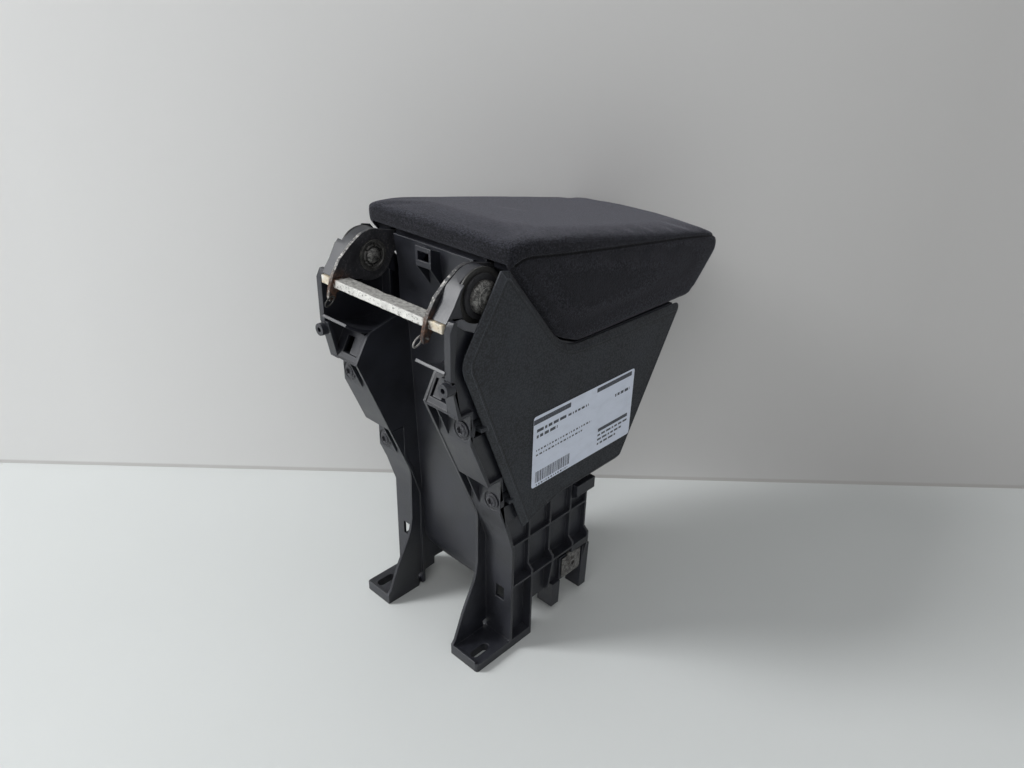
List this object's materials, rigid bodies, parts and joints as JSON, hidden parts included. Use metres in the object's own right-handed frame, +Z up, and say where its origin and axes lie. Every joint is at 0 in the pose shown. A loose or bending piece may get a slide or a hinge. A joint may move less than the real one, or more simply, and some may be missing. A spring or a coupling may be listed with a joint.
{
  "type": "center console armrest",
  "caption": "Car centre console armrest with a padded fabric lid hinged over a storage bin, on a two-footed black plastic frame with side trims.",
  "frame": {"origin": "on the floor plane under the middle of the part's bounding box", "axes": "+X to the car's right along the hinge line, +Y to the car's front, +Z up"},
  "size_m": [0.1416, 0.3009, 0.3254],
  "materials": {
    "black_plastic": "dusty glass-filled black, semi-matt",
    "trim_plastic": "fine leather grain, dark blue-grey",
    "fabric": "close-woven charcoal cloth, worn at the rear edge",
    "painted_steel": "black paint, scratched at the edges",
    "zinc_steel": "zinc plated, dull, pitted",
    "bright_steel": "bare, lightly tarnished",
    "bronze": "plain bearing bronze",
    "washer_rubber": "black, matt",
    "rubber": "black, matt",
    "paper": "coated white paper"
  },
  "bodies": {
    "frame": {"support_frame": "black_plastic", "storage_bin": "black_plastic", "paper_label": "paper", "side_trim_right": "trim_plastic", "trim_screw_lower_right": "zinc_steel", "trim_screw_upper_right": "zinc_steel", "clip_nut_right": "bright_steel", "pivot_bush_right": "bronze", "friction_washer_right": "washer_rubber", "spring_washer_right": "bright_steel", "lid_buffer_right": "rubber", "side_trim_left": "trim_plastic", "trim_screw_lower_left": "zinc_steel", "trim_screw_upper_left": "zinc_steel", "clip_nut_left": "bright_steel", "pivot_bush_left": "bronze", "friction_washer_left": "washer_rubber", "spring_washer_left": "bright_steel", "lid_buffer_left": "rubber"},
    "lid": {"lid_cushion": "fabric", "lid_carrier": "black_plastic", "lid_liner": "black_plastic", "cross_bar": "zinc_steel", "hinge_arm_right": "painted_steel", "wire_hook_right": "bright_steel", "pivot_pin_right": "bright_steel", "push_nut_right": "bright_steel", "arm_screw_rear_right": "zinc_steel", "arm_screw_front_right": "zinc_steel", "liner_screw_rear_right": "zinc_steel", "liner_screw_front_right": "zinc_steel", "hinge_arm_left": "painted_steel", "wire_hook_left": "bright_steel", "pivot_pin_left": "bright_steel", "push_nut_left": "bright_steel", "arm_screw_rear_left": "zinc_steel", "arm_screw_front_left": "zinc_steel", "liner_screw_rear_left": "zinc_steel", "liner_screw_front_left": "zinc_steel"}
  },
  "joints": [
    {"name": "lid_hinge", "type": "hinge", "parent": "frame", "child": "lid", "pos_m": [0, -0.10815, 0.2966], "axis": [1, 0, 0], "range_deg": [0, 85]}
  ]
}
